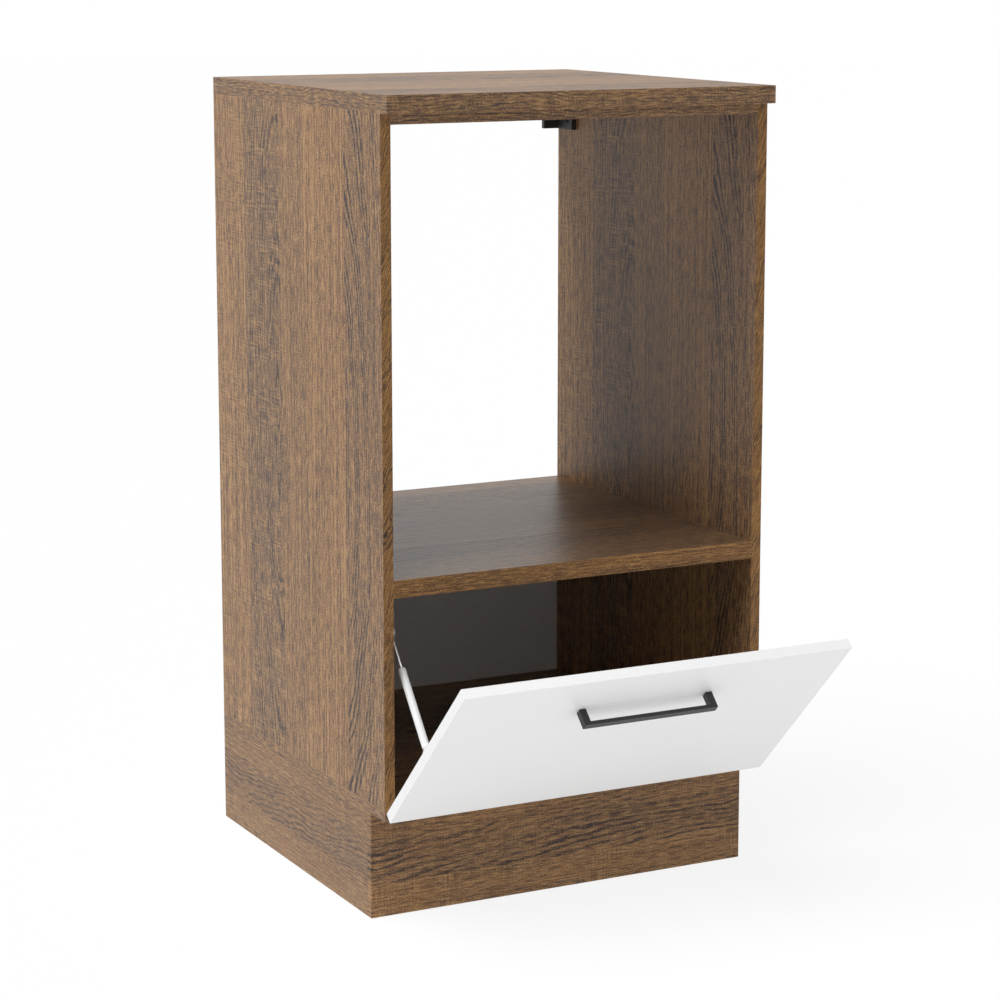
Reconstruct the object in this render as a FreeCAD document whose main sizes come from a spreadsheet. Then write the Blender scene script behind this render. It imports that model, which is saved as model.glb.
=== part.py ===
import FreeCAD, Part
import math
import os
import re
import Sketcher

# Oven base cabinet with a flap door, modelled with the flap resting open on its gas strut.
# Frame: X to the cabinet's right, Y towards its back, Z up. The origin is at floor level,
# under the middle of the front plinth board.

SIZES = {
    # carcass boards
    "width": 600,
    "depth": 588,
    "height": 1142,
    "board": 15,
    "thick_board": 25,
    "edge_band": 0.5,
    "worktop_overhang": 21,
    "shelf_top": 489,
    "rail_depth": 80,
    "plinth_height": 152,
    "plinth_board": 12,
    "plinth_setback": 47.5,
    "back_board": 3,
    "back_margin": 3,
    # joining screws, dowels and cam fittings
    "joining_screw_radius": 3.5,
    "joining_screw_length": 50,
    "joining_head_radius": 5,
    "joining_head": 3,
    "dowel_radius": 4,
    "dowel_length": 30,
    "dowel_in_side": 10,
    "cam_radius": 7.5,
    "cam_height": 12,
    "cam_inset": 34,
    "bolt_radius": 2.5,
    "bolt_head_radius": 3.2,
    "bolt_head": 4,
    "bolt_head_offset": 1,
    "bolt_in_side": 11,
    "wood_screw_radius": 2,
    "wood_head_radius": 4,
    "wood_head": 2.2,
    "nail_radius": 0.9,
    "nail_length": 15,
    "nail_head_radius": 2.5,
    "nail_head": 0.8,
    "corner_block": 30,
    "corner_block_height": 42,
    # brackets in the two upper rear corners
    "bracket_leg": 58,
    "bracket_foot": 30,
    "bracket_thick": 8,
    "bracket_height": 52,
    "wall_hole_radius": 2.75,
    # flap door and its hinges
    "door_width": 596,
    "door_height": 324,
    "door_gap": 3,
    "opening_angle": 45,
    "pin_height": 163,
    "pin_depth": 8.5,
    "pin_up": 7,
    "pin_radius": 1.5,
    "running_gap": 0.05,
    "hinge_place": 200,
    "cup_radius": 17.5,
    "cup_depth": 12.6,
    "cup_wall": 0.6,
    "cup_floor": 0.8,
    "cup_edge": 3,
    "flange": 1.2,
    "arm_thick": 3,
    "arm_half_width": 7,
    "plate_thick": 4,
    # handle
    "handle_length": 206,
    "handle_leg": 10,
    "handle_bar": 5.5,
    "handle_band": 11,
    "handle_standoff": 25,
    "handle_up": 249,
    "handle_edge": 0.6,
    # gas strut, with its two ends measured from the side panel and from the door
    "strut_inset": 20,
    "side_ball_back": 55,
    "side_ball_height": 404.5,
    "door_ball_up": 113,
    "door_ball_out": 24,
    "ball_radius": 4,
    "stud_radius": 2.2,
    "socket_radius": 6,
    "socket_width": 10,
    "socket_reach": 8.5,
    "tube_radius": 5.5,
    "tube_wall": 1.2,
    "tube_length": 121,
    "rod_radius": 2,
    "rod_length": 75,
}

doc = FreeCAD.newDocument("oven_base_cabinet")
sheet = doc.addObject("Spreadsheet::Sheet", "Sizes")
for row, (size_name, size_value) in enumerate(SIZES.items(), 1):
    sheet.set("A%d" % row, size_name)
    sheet.set("B%d" % row, str(size_value))
    sheet.setAlias("B%d" % row, size_name)
doc.recompute()

LOW_CORNERS = {}
PLANES = {"x": "YZ_Plane", "y": "XZ_Plane", "z": "XY_Plane"}
ALONG = {
    ("x", 1): FreeCAD.Rotation(FreeCAD.Vector(0, 1, 0), 90),
    ("x", -1): FreeCAD.Rotation(FreeCAD.Vector(0, 1, 0), -90),
    ("y", 1): FreeCAD.Rotation(FreeCAD.Vector(1, 0, 0), -90),
    ("y", -1): FreeCAD.Rotation(FreeCAD.Vector(1, 0, 0), 90),
    ("z", 1): FreeCAD.Rotation(),
    ("z", -1): FreeCAD.Rotation(FreeCAD.Vector(1, 0, 0), 180),
}


def named(text):
    """Point each driving dimension named in an expression at its cell."""
    return re.sub(r"[a-z_]+", lambda word: ("Sizes." if word.group() in SIZES else "") + word.group(), text)


def bind(thing, prop, text):
    thing.setExpression(prop, named(text))


def minus(a, b):
    return f"({a}) - ({b})"


def place(thing, x="0", y="0", z="0", turn=None):
    """Place a thing, turned about X by an angle if one is given."""
    if turn:
        thing.Placement = FreeCAD.Placement(FreeCAD.Vector(), FreeCAD.Rotation(FreeCAD.Vector(1, 0, 0), 1))
        bind(thing, "Placement.Rotation.Angle", turn)
    for letter, text in zip("xyz", (x, y, z)):
        bind(thing, "Placement.Base." + letter, text)


def new_part(kind, label):
    part = doc.addObject(kind, label)
    part.Label = label
    return part


# Bodies: prisms and round stubs are added or cut along one axis, between a low and a high value.

def new_body(label, corner=("0", "0", "0")):
    body = new_part("PartDesign::Body", label)
    place(body, *corner)
    LOW_CORNERS[label] = corner
    return body


def new_sketch(body, axis, at):
    plane = next(item for item in body.Origin.OriginFeatures if item.Role == PLANES[axis])
    sketch = body.newObject("Sketcher::SketchObject", body.Label + "_sketch")
    sketch.AttachmentSupport = (plane, [""])
    sketch.MapMode = "FlatFace"
    bind(sketch, "AttachmentOffset.Base.z", f"-({at})" if axis == "y" else at)
    return sketch


def pin_point(sketch, geometry, vertex, x, y):
    """Hold a point of the sketch at x, y."""
    for kind, text in (("DistanceX", x), ("DistanceY", y)):
        index = sketch.addConstraint(Sketcher.Constraint(kind, -1, 1, geometry, vertex, 1.0))
        name = f"{kind}{geometry}"
        sketch.renameConstraint(index, name)
        bind(sketch, "Constraints." + name, text)


def draw_outline(sketch, points):
    count = len(points)
    corners = [FreeCAD.Vector(math.cos(math.tau * i / count), math.sin(math.tau * i / count), 0)
               for i in range(count)]
    for i in range(count):
        sketch.addGeometry(Part.LineSegment(corners[i], corners[(i + 1) % count]), False)
    for i in range(count):
        sketch.addConstraint(Sketcher.Constraint("Coincident", i, 2, (i + 1) % count, 1))
    for i, (x, y) in enumerate(points):
        pin_point(sketch, i, 1, x, y)


def draw_circles(sketch, spots, radius):
    for i, (x, y) in enumerate(spots):
        circle = Part.Circle(FreeCAD.Vector(i, i, 0), FreeCAD.Vector(0, 0, 1), 1)
        sketch.addGeometry(circle, False)
        name = f"Radius{i}"
        index = sketch.addConstraint(Sketcher.Constraint("Radius", i, 1.0))
        sketch.renameConstraint(index, name)
        bind(sketch, "Constraints." + name, radius)
        pin_point(sketch, i, 3, x, y)


def grow(body, axis, low, high):
    """A pad from low to high along an axis; its sketch is drawn by the caller."""
    sketch = new_sketch(body, axis, high if axis == "y" else low)
    pad = body.newObject("PartDesign::Pad", body.Label + "_pad")
    pad.Profile = sketch
    bind(pad, "Length", minus(high, low))
    return sketch


def shrink(body, axis, low, high):
    """A pocket from low to high along an axis; its sketch is drawn by the caller."""
    doc.recompute()
    sketch = new_sketch(body, axis, low if axis == "y" else high)
    pocket = body.newObject("PartDesign::Pocket", body.Label + "_pocket")
    pocket.Profile = sketch
    bind(pocket, "Length", minus(high, low))
    return sketch


def check_smaller(body, before):
    doc.recompute()
    if not body.Shape.Volume < before:
        raise RuntimeError("a cut missed " + body.Label)


def add_prism(body, axis, points, low, high):
    draw_outline(grow(body, axis, low, high), points)


def add_round(body, axis, spot, radius, low, high):
    draw_circles(grow(body, axis, low, high), [spot], radius)


def drill(body, axis, spots, radius, low, high):
    """Round holes along an axis, given in the frame that the body's corner is given in."""
    corner = dict(zip("xyz", LOW_CORNERS[body.Label]))
    across = [letter for letter in "xyz" if letter != axis]
    local = [[minus(text, corner[letter]) for letter, text in zip(across, spot)] for spot in spots]
    doc.recompute()
    before = body.Shape.Volume
    sketch = shrink(body, axis, minus(low, corner[axis]), minus(high, corner[axis]))
    draw_circles(sketch, local, radius)
    check_smaller(body, before)


def rectangle(x_low, x_high, y_low, y_high):
    return [(x_low, y_low), (x_high, y_low), (x_high, y_high), (x_low, y_high)]


def board(label, low, high):
    """A flat board between two corners, standing on its lower one."""
    body = new_body(label, low)
    across, along, up = [minus(b, a) for a, b in zip(low, high)]
    add_prism(body, "z", rectangle("0", across, "0", along), "0", up)
    return body


# Small pieces: boxes, cylinders and fasteners, on their own or as a group in one node.

def box(label, low, high):
    part = new_part("Part::Box", label)
    for prop, a, b in zip(("Length", "Width", "Height"), low, high):
        bind(part, prop, minus(b, a))
    place(part, *low)
    return part


def cylinder(label, axis, way, start, radius, length):
    """A cylinder from its start along an axis, one way or the other."""
    part = new_part("Part::Cylinder", label)
    bind(part, "Radius", radius)
    bind(part, "Height", length)
    part.Placement = FreeCAD.Placement(FreeCAD.Vector(), ALONG[axis, way])
    for letter, text in zip("xyz", start):
        bind(part, "Placement.Base." + letter, text)
    return part


def fused(label, pieces):
    part = new_part("Part::MultiFuse", label)
    part.Shapes = pieces
    return part


def group(label, pieces):
    part = new_part("Part::Compound", label)
    part.Links = pieces
    return part


def along(start, axis, way, length):
    """The point a length further along an axis."""
    sign = "+" if way > 0 else "-"
    return [f"({text}) {sign} ({length})" if letter == axis else text for letter, text in zip("xyz", start)]


def fastener(label, axis, way, start, head_radius, head, radius, length):
    """A screw or nail that starts with its head and points one way along an axis."""
    cap = cylinder(label + "_head", axis, way, start, head_radius, head)
    shank = cylinder(label + "_shank", axis, way, along(start, axis, way, head), radius, minus(length, head))
    return fused(label, [cap, shank])


def fasteners(label, kind, spots):
    """A node of like fasteners; each spot is an axis, a way and the top of the head."""
    pieces = [fastener(f"{label}_{i}", axis, way, start, *kind)
              for i, (axis, way, start) in enumerate(spots, 1)]
    return group(label, pieces)


# Places that several pieces share.

FRONT = "(-(plinth_setback + plinth_board / 2))"
REAR = f"({FRONT} + depth)"
HALF = "(width / 2)"
SIDE_INNER = "(width / 2 - board)"
BASE_TOP = "(plinth_height + board)"
SIDE_TOP = "(height - thick_board)"
RAIL_BOTTOM = "(height - thick_board - board)"
SHELF_BOTTOM = "(shelf_top - thick_board)"
PLINTH_FRONT = "(-plinth_board / 2)"
PLINTH_REAR = "(plinth_board / 2)"
SIGNS = {"left": -1, "right": 1}


def from_front(distance):
    return f"({FRONT} + {distance})"


def span(sign, near, far):
    """A low and a high x for a piece that lies between near and far on one side."""
    low, high = (near, far) if sign > 0 else (far, near)
    return f"{sign} * ({low})", f"{sign} * ({high})"


# Where the fittings go, as distances back from the front edges of the side panels.

JOINING_SCREW_BACK = (60, 294, 528)
SHELF_DOWEL_BACK = (50, 538)
SHELF_CAM_BACK = (90, 498)
RAIL_DOWEL_BACK = (60, 528)
RAIL_CAM_BACK = (25, 563)
WORKTOP_SCREW_BACK = (40, 548)
WORKTOP_SCREW_X = (-180, 180)
NAIL_HEIGHTS = (200, 310, 420)
NAIL_X = (-200, 0, 200)
SHELF_JOINT_HEIGHT = "(shelf_top - thick_board + board / 2)"
RAIL_JOINT_HEIGHT = "(height - thick_board - board / 2)"
SIDE_MIDDLE = "(width / 2 - board / 2)"
BASE_NAIL_HEIGHT = "(plinth_height + board / 2)"
SHELF_NAIL_HEIGHT = "(shelf_top - thick_board / 2)"
WOOD_SCREW_IN = "12"
DOOR_SCREW_IN = "10"

# Side panels stand on the base panel and carry the worktop.

for side, sign in SIGNS.items():
    x_low, x_high = span(sign, SIDE_INNER, HALF)
    panel = board(f"side_panel_{side}", (x_low, f"{FRONT} + edge_band", BASE_TOP), (x_high, REAR, SIDE_TOP))
    middle = f"{sign} * {SIDE_MIDDLE}"
    drill(panel, "z", [(middle, from_front(back)) for back in JOINING_SCREW_BACK], "joining_screw_radius",
          BASE_TOP, f"{BASE_TOP} + joining_screw_length - board")
    hole_low, hole_high = span(sign, SIDE_INNER, f"({SIDE_INNER} + dowel_in_side)")
    drill(panel, "x", [(from_front(back), SHELF_JOINT_HEIGHT) for back in SHELF_DOWEL_BACK]
          + [(from_front(back), RAIL_JOINT_HEIGHT) for back in RAIL_DOWEL_BACK],
          "dowel_radius", hole_low, hole_high)
    hole_low, hole_high = span(sign, SIDE_INNER, f"({SIDE_INNER} + bolt_in_side)")
    drill(panel, "x", [(from_front(back), SHELF_JOINT_HEIGHT) for back in SHELF_CAM_BACK]
          + [(from_front(back), RAIL_JOINT_HEIGHT) for back in RAIL_CAM_BACK],
          "bolt_radius", hole_low, hole_high)
    drill(panel, "y", [(middle, f"{height}") for height in NAIL_HEIGHTS], "nail_radius",
          f"{REAR} - nail_length + back_board", REAR)

side_bands = [box(f"side_front_band_{side}",
                  (span(sign, SIDE_INNER, HALF)[0], FRONT, BASE_TOP),
                  (span(sign, SIDE_INNER, HALF)[1], f"{FRONT} + edge_band", SIDE_TOP))
              for side, sign in SIGNS.items()]
group("side_panel_edge_bands", side_bands)

# The base panel runs under both side panels, so its ends show.

base_panel = board("base_panel",
                   (f"-{HALF} + edge_band", f"{FRONT} + edge_band", "plinth_height"),
                   (f"{HALF} - edge_band", REAR, BASE_TOP))
joining_spots = [(f"{sign} * {SIDE_MIDDLE}", from_front(back))
                 for sign in SIGNS.values() for back in JOINING_SCREW_BACK]
drill(base_panel, "z", joining_spots, "joining_screw_radius", "plinth_height", BASE_TOP)
drill(base_panel, "z", joining_spots, "joining_head_radius", "plinth_height", "plinth_height + joining_head")
drill(base_panel, "y", [(f"{x}", BASE_NAIL_HEIGHT) for x in NAIL_X], "nail_radius",
      f"{REAR} - nail_length + back_board", REAR)
group("base_panel_edge_bands", [
    box("base_front_band", (f"-{HALF}", FRONT, "plinth_height"), (HALF, f"{FRONT} + edge_band", BASE_TOP)),
    box("base_left_band", (f"-{HALF}", f"{FRONT} + edge_band", "plinth_height"),
        (f"-{HALF} + edge_band", REAR, BASE_TOP)),
    box("base_right_band", (f"{HALF} - edge_band", f"{FRONT} + edge_band", "plinth_height"),
        (HALF, REAR, BASE_TOP)),
])

# The oven stands on the thick shelf between the side panels.

shelf = board("oven_shelf",
              (f"-{SIDE_INNER}", f"{FRONT} + edge_band", SHELF_BOTTOM),
              (SIDE_INNER, REAR, "shelf_top"))
box("oven_shelf_edge_band", (f"-{SIDE_INNER}", FRONT, SHELF_BOTTOM),
    (SIDE_INNER, f"{FRONT} + edge_band", "shelf_top"))

# Two rails tie the side panels together under the worktop.

rails = {
    "front": board("top_rail_front",
                   (f"-{SIDE_INNER}", f"{FRONT} + edge_band", RAIL_BOTTOM),
                   (SIDE_INNER, f"{FRONT} + rail_depth", SIDE_TOP)),
    "rear": board("top_rail_rear",
                  (f"-{SIDE_INNER}", f"{REAR} - rail_depth", RAIL_BOTTOM),
                  (SIDE_INNER, f"{REAR} - edge_band", SIDE_TOP)),
}
group("top_rail_edge_bands", [
    box("rail_front_band", (f"-{SIDE_INNER}", FRONT, RAIL_BOTTOM),
        (SIDE_INNER, f"{FRONT} + edge_band", SIDE_TOP)),
    box("rail_rear_band", (f"-{SIDE_INNER}", f"{REAR} - edge_band", RAIL_BOTTOM),
        (SIDE_INNER, REAR, SIDE_TOP)),
])

# The worktop is level with the carcass at its sides and back, and overhangs the front.

WORKTOP_FRONT = f"({FRONT} - worktop_overhang)"
worktop = board("worktop",
                (f"-{HALF} + edge_band", f"{WORKTOP_FRONT} + edge_band", SIDE_TOP),
                (f"{HALF} - edge_band", f"{REAR} - edge_band", "height"))
group("worktop_edge_bands", [
    box("worktop_front_band", (f"-{HALF}", WORKTOP_FRONT, SIDE_TOP),
        (HALF, f"{WORKTOP_FRONT} + edge_band", "height")),
    box("worktop_rear_band", (f"-{HALF}", f"{REAR} - edge_band", SIDE_TOP), (HALF, REAR, "height")),
    box("worktop_left_band", (f"-{HALF}", f"{WORKTOP_FRONT} + edge_band", SIDE_TOP),
        (f"-{HALF} + edge_band", f"{REAR} - edge_band", "height")),
    box("worktop_right_band", (f"{HALF} - edge_band", f"{WORKTOP_FRONT} + edge_band", SIDE_TOP),
        (HALF, f"{REAR} - edge_band", "height")),
])

# The thin back board closes only the lower compartment and is nailed on from behind.

back_panel = board("back_panel",
                   (f"-{HALF} + back_margin", REAR, "plinth_height + back_margin"),
                   (f"{HALF} - back_margin", f"{REAR} + back_board", "shelf_top - back_margin"))
nail_spots = [(f"{sign} * {SIDE_MIDDLE}", f"{height}") for sign in SIGNS.values() for height in NAIL_HEIGHTS]
nail_spots += [(f"{x}", height) for height in (BASE_NAIL_HEIGHT, SHELF_NAIL_HEIGHT) for x in NAIL_X]
drill(back_panel, "y", nail_spots, "nail_radius", REAR, f"{REAR} + back_board")
drill(shelf, "y", [(f"{x}", SHELF_NAIL_HEIGHT) for x in NAIL_X], "nail_radius",
      f"{REAR} - nail_length + back_board", REAR)
NAIL = ("nail_head_radius", "nail_head", "nail_radius", "nail_length")
fasteners("back_panel_nails", NAIL,
          [("y", -1, (x, f"{REAR} + back_board + nail_head", z)) for x, z in nail_spots])

# The plinth is a frame of four boards; the front one covers the ends of the side ones.

plinth = {
    "front": board("plinth_front", (f"-{HALF}", PLINTH_FRONT, "0"), (HALF, PLINTH_REAR, "plinth_height")),
    "rear": board("plinth_rear", (f"-{HALF} + plinth_board", f"{REAR} - plinth_board", "0"),
                  (f"{HALF} - plinth_board", REAR, "plinth_height")),
}
for side, sign in SIGNS.items():
    x_low, x_high = span(sign, f"({HALF} - plinth_board)", HALF)
    plinth[side] = board(f"plinth_{side}", (x_low, PLINTH_REAR, "0"), (x_high, REAR, "plinth_height"))

# A block in each corner of the plinth is screwed to both boards and up into the base panel.

BLOCK_LOW = "(plinth_height - corner_block_height)"
BLOCK_SIDE_SCREW = "(plinth_height - corner_block / 3)"
BLOCK_END_SCREW = "(plinth_height - corner_block_height * 2 / 3)"
BLOCK_UP_SCREW_IN = "0.7 * corner_block"
COVER_AT_TIP = 3
corner_blocks = []
block_screws = []
for side, sign in SIGNS.items():
    for end, way, face in (("front", 1, PLINTH_REAR), ("rear", -1, f"({REAR} - plinth_board)")):
        wall = f"({HALF} - plinth_board)"
        x_low, x_high = span(sign, f"({wall} - corner_block)", wall)
        inner = f"({face} + {way} * corner_block)"
        y_low, y_high = (face, inner) if way > 0 else (inner, face)
        block = board(f"plinth_block_{end}_{side}",
                      (x_low, y_low, BLOCK_LOW), (x_high, y_high, "plinth_height"))
        corner_blocks.append(block)
        up_spot = (f"{sign} * ({wall} - {BLOCK_UP_SCREW_IN})", f"{face} + {way} * {BLOCK_UP_SCREW_IN}")
        end_x = f"{sign} * ({wall} - corner_block / 3)"
        side_y = f"{face} + {way} * corner_block / 3"
        drill(block, "z", [up_spot], "wood_screw_radius", BLOCK_LOW, "plinth_height")
        drill(block, "y", [(end_x, BLOCK_END_SCREW)], "wood_screw_radius", y_low, y_high)
        drill(block, "x", [(side_y, BLOCK_SIDE_SCREW)], "wood_screw_radius", x_low, x_high)
        drill(base_panel, "z", [up_spot], "wood_screw_radius",
              "plinth_height", f"plinth_height + {WOOD_SCREW_IN}")
        bite = f"(plinth_board - {COVER_AT_TIP})"
        bite_low, bite_high = (f"{face} - {bite}", face) if way > 0 else (face, f"{face} + {bite}")
        drill(plinth[end], "y", [(end_x, BLOCK_END_SCREW)], "wood_screw_radius", bite_low, bite_high)
        bite_low, bite_high = span(sign, wall, f"({wall} + {bite})")
        drill(plinth[side], "x", [(side_y, BLOCK_SIDE_SCREW)], "wood_screw_radius", bite_low, bite_high)
        across = f"wood_head + corner_block + {bite}"
        block_screws += [
            fastener(f"block_screw_up_{end}_{side}", "z", 1, (*up_spot, f"{BLOCK_LOW} - wood_head"),
                     "wood_head_radius", "wood_head", "wood_screw_radius",
                     f"wood_head + corner_block_height + {WOOD_SCREW_IN}"),
            fastener(f"block_screw_end_{end}_{side}", "y", -way,
                     (end_x, f"{inner} + {way} * wood_head", BLOCK_END_SCREW),
                     "wood_head_radius", "wood_head", "wood_screw_radius", across),
            fastener(f"block_screw_side_{end}_{side}", "x", sign,
                     (f"{sign} * ({wall} - corner_block - wood_head)", side_y, BLOCK_SIDE_SCREW),
                     "wood_head_radius", "wood_head", "wood_screw_radius", across),
        ]
group("plinth_corner_blocks", corner_blocks)
group("plinth_block_screws", block_screws)

# Joining screws come up through the base panel into the side panels.

JOINING_SCREW = ("joining_head_radius", "joining_head", "joining_screw_radius", "joining_screw_length")
fasteners("joining_screws", JOINING_SCREW, [("z", 1, (x, y, "plinth_height")) for x, y in joining_spots])

# Dowels, cam bolts and cam locks hold the shelf and the rails between the side panels.

joints = [(shelf, "shelf", back, SHELF_JOINT_HEIGHT, "dowel") for back in SHELF_DOWEL_BACK]
joints += [(shelf, "shelf", back, SHELF_JOINT_HEIGHT, "cam") for back in SHELF_CAM_BACK]
for (name, rail), dowel_back, cam_back in zip(rails.items(), RAIL_DOWEL_BACK, RAIL_CAM_BACK):
    joints.append((rail, name, dowel_back, RAIL_JOINT_HEIGHT, "dowel"))
    joints.append((rail, name, cam_back, RAIL_JOINT_HEIGHT, "cam"))

dowels = []
cam_bolts = []
cam_locks = []
for panel, name, back, level, kind in joints:
    y = from_front(back)
    for side, sign in SIGNS.items():
        label = f"{name}_{back}_{side}"
        if kind == "dowel":
            low, high = span(sign, f"({SIDE_INNER} + dowel_in_side - dowel_length)", SIDE_INNER)
            drill(panel, "x", [(y, level)], "dowel_radius", low, high)
            dowels.append(cylinder(f"dowel_{label}", "x", sign,
                                   (f"{sign} * ({SIDE_INNER} + dowel_in_side - dowel_length)", y, level),
                                   "dowel_radius", "dowel_length"))
            continue
        centre = f"({SIDE_INNER} - cam_inset)"
        if name == "shelf":
            cam_low, cam_high = SHELF_BOTTOM, f"{SHELF_BOTTOM} + cam_height"
        else:
            cam_low, cam_high = f"{SIDE_TOP} - cam_height", SIDE_TOP
        drill(panel, "z", [(f"{sign} * {centre}", y)], "cam_radius", cam_low, cam_high)
        low, high = span(sign, f"({centre} + cam_radius - bolt_head_offset)", SIDE_INNER)
        drill(panel, "x", [(y, level)], "bolt_head_radius", low, high)
        lock = new_body(f"cam_lock_{label}", (f"{sign} * {centre}", y, cam_low))
        add_round(lock, "z", ("0", "0"), "cam_radius", "0", "cam_height")
        low, high = span(sign, centre, f"({centre} + cam_radius)")
        drill(lock, "x", [(y, level)], "bolt_head_radius", low, high)
        cam_locks.append(lock)
        cam_bolts.append(fastener(f"cam_bolt_{label}", "x", sign,
                                  (f"{sign} * ({centre} + bolt_head_offset)", y, level),
                                  "bolt_head_radius", "bolt_head", "bolt_radius",
                                  "cam_inset - bolt_head_offset + bolt_in_side"))
group("dowels", dowels)
group("cam_bolts", cam_bolts)
group("cam_locks", cam_locks)

# Screws go up through the rails into the worktop.

worktop_screws = []
for rail, back in zip(rails.values(), WORKTOP_SCREW_BACK):
    spots = [(f"{x}", from_front(back)) for x in WORKTOP_SCREW_X]
    drill(rail, "z", spots, "wood_screw_radius", RAIL_BOTTOM, SIDE_TOP)
    drill(rail, "z", spots, "wood_head_radius", RAIL_BOTTOM, f"{RAIL_BOTTOM} + wood_head")
    drill(worktop, "z", spots, "wood_screw_radius", SIDE_TOP, f"{SIDE_TOP} + {WOOD_SCREW_IN}")
    worktop_screws += [("z", 1, (*spot, RAIL_BOTTOM)) for spot in spots]
WORKTOP_SCREW = ("wood_head_radius", "wood_head", "wood_screw_radius", f"board + {WOOD_SCREW_IN}")
fasteners("worktop_screws", WORKTOP_SCREW, worktop_screws)

# An angle bracket sits in each upper rear corner, with a hole for a wall screw.

BRACKET_LOW = f"({RAIL_BOTTOM} - bracket_height)"
BRACKET_SCREW_BACK = f"{REAR} - 0.75 * bracket_leg"
BRACKET_SCREW_SHARES = (0.27, 0.73)
bracket_screws = []
for side, sign in SIGNS.items():
    bracket = new_body(f"rear_bracket_{side}")
    inner = f"({SIDE_INNER} - bracket_thick)"
    foot = f"({SIDE_INNER} - bracket_foot)"
    corners = [(SIDE_INNER, REAR), (SIDE_INNER, f"{REAR} - bracket_leg"), (inner, f"{REAR} - bracket_leg"),
               (inner, f"{REAR} - bracket_thick"), (foot, f"{REAR} - bracket_thick"), (foot, REAR)]
    add_prism(bracket, "z", [(f"{sign} * {x}", y) for x, y in corners], BRACKET_LOW, RAIL_BOTTOM)
    screw_spots = [(BRACKET_SCREW_BACK, f"{BRACKET_LOW} + {share} * bracket_height")
                   for share in BRACKET_SCREW_SHARES]
    low, high = span(sign, inner, SIDE_INNER)
    drill(bracket, "x", screw_spots, "wood_screw_radius", low, high)
    drill(bracket, "y", [(f"{sign} * ({foot} + {inner}) / 2", f"{BRACKET_LOW} + bracket_height / 2")],
          "wall_hole_radius", f"{REAR} - bracket_thick", REAR)
    low, high = span(sign, SIDE_INNER, f"({SIDE_INNER} + {WOOD_SCREW_IN})")
    drill(doc.getObject(f"side_panel_{side}"), "x", screw_spots, "wood_screw_radius", low, high)
    bracket_screws += [("x", sign, (f"{sign} * ({inner} - wood_head)", *spot)) for spot in screw_spots]
BRACKET_SCREW = ("wood_head_radius", "wood_head", "wood_screw_radius",
                 f"wood_head + bracket_thick + {WOOD_SCREW_IN}")
fasteners("rear_bracket_screws", BRACKET_SCREW, bracket_screws)

# The flap turns about the hinge pins. Its pieces are drawn as if it were closed, from the pins'
# axis, and are then turned open together.

PIN_BACK = f"({FRONT} - door_gap - pin_depth)"
DOOR_OUTER = "(pin_depth - board)"
DOOR_BOTTOM = "(-pin_up)"
DOOR_TOP = "(door_height - pin_up)"
HALF_DOOR = "(door_width / 2)"
CUP_LEVEL = "(cup_edge + cup_radius - pin_up)"
HANDLE_LEVEL = "(handle_up - pin_up)"
HINGES = {"left": "-hinge_place", "right": "hinge_place"}


def hang(thing, x="0"):
    """Put a piece of the flap on the pins' axis, open."""
    place(thing, x, PIN_BACK, "pin_height", "opening_angle")
    return thing


door = hang(new_body("door_panel"))
add_prism(door, "y", rectangle(f"-{HALF_DOOR} + edge_band", f"{HALF_DOOR} - edge_band",
                               f"{DOOR_BOTTOM} + edge_band", f"{DOOR_TOP} - edge_band"),
          DOOR_OUTER, "pin_depth")
drill(door, "y", [(x, CUP_LEVEL) for x in HINGES.values()], "cup_radius",
      "pin_depth - cup_depth", "pin_depth")
hang(group("door_edge_bands", [
    box("door_bottom_band", (f"-{HALF_DOOR}", DOOR_OUTER, DOOR_BOTTOM),
        (HALF_DOOR, "pin_depth", f"{DOOR_BOTTOM} + edge_band")),
    box("door_top_band", (f"-{HALF_DOOR}", DOOR_OUTER, f"{DOOR_TOP} - edge_band"),
        (HALF_DOOR, "pin_depth", DOOR_TOP)),
    box("door_left_band", (f"-{HALF_DOOR}", DOOR_OUTER, f"{DOOR_BOTTOM} + edge_band"),
        (f"-{HALF_DOOR} + edge_band", "pin_depth", f"{DOOR_TOP} - edge_band")),
    box("door_right_band", (f"{HALF_DOOR} - edge_band", DOOR_OUTER, f"{DOOR_BOTTOM} + edge_band"),
        (HALF_DOOR, "pin_depth", f"{DOOR_TOP} - edge_band")),
]))

# Hinge cups are let into the flap; each has two lugs that hold the pin.

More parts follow.
